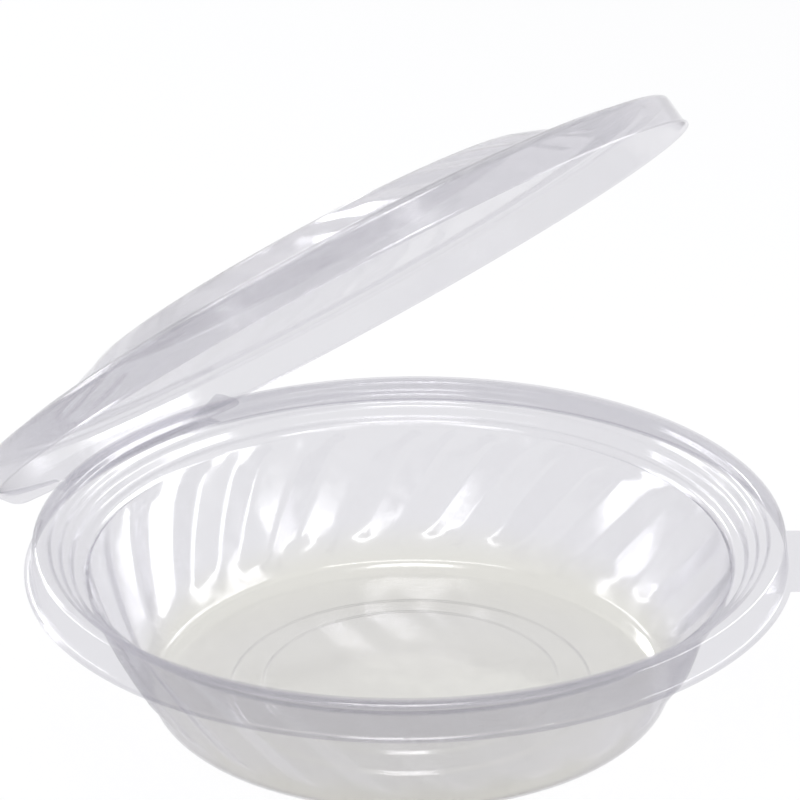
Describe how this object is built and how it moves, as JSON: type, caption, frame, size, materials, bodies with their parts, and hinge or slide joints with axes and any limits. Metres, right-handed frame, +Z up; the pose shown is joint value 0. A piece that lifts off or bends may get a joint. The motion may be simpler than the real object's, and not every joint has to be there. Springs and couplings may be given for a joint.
{
  "type": "hinged clamshell bowl",
  "caption": "Clear round clamshell bowl with twisted flutes, a stepped rim, a domed lid on a straight fold at the back and an opening tab on the lip.",
  "frame": {"origin": "centre of the bowl, on the table plane under its foot", "axes": "+Z up, +Y towards the hinge at the back, -Y towards the opening side, +X to the right as seen from the opening side, where the tab is"},
  "size_m": [0.184, 0.1935, 0.1548],
  "materials": {
    "clear_plastic": "clear thin sheet, glossy"
  },
  "bodies": {
    "bowl": {"bowl": "clear_plastic"},
    "lid": {"lid": "clear_plastic"}
  },
  "joints": [
    {"name": "lid_fold", "type": "hinge", "parent": "bowl", "child": "lid", "pos_m": [0, 0.0926, 0.03655], "axis": [-1, 0, 0], "range_deg": [-37.6, 142.4]}
  ]
}
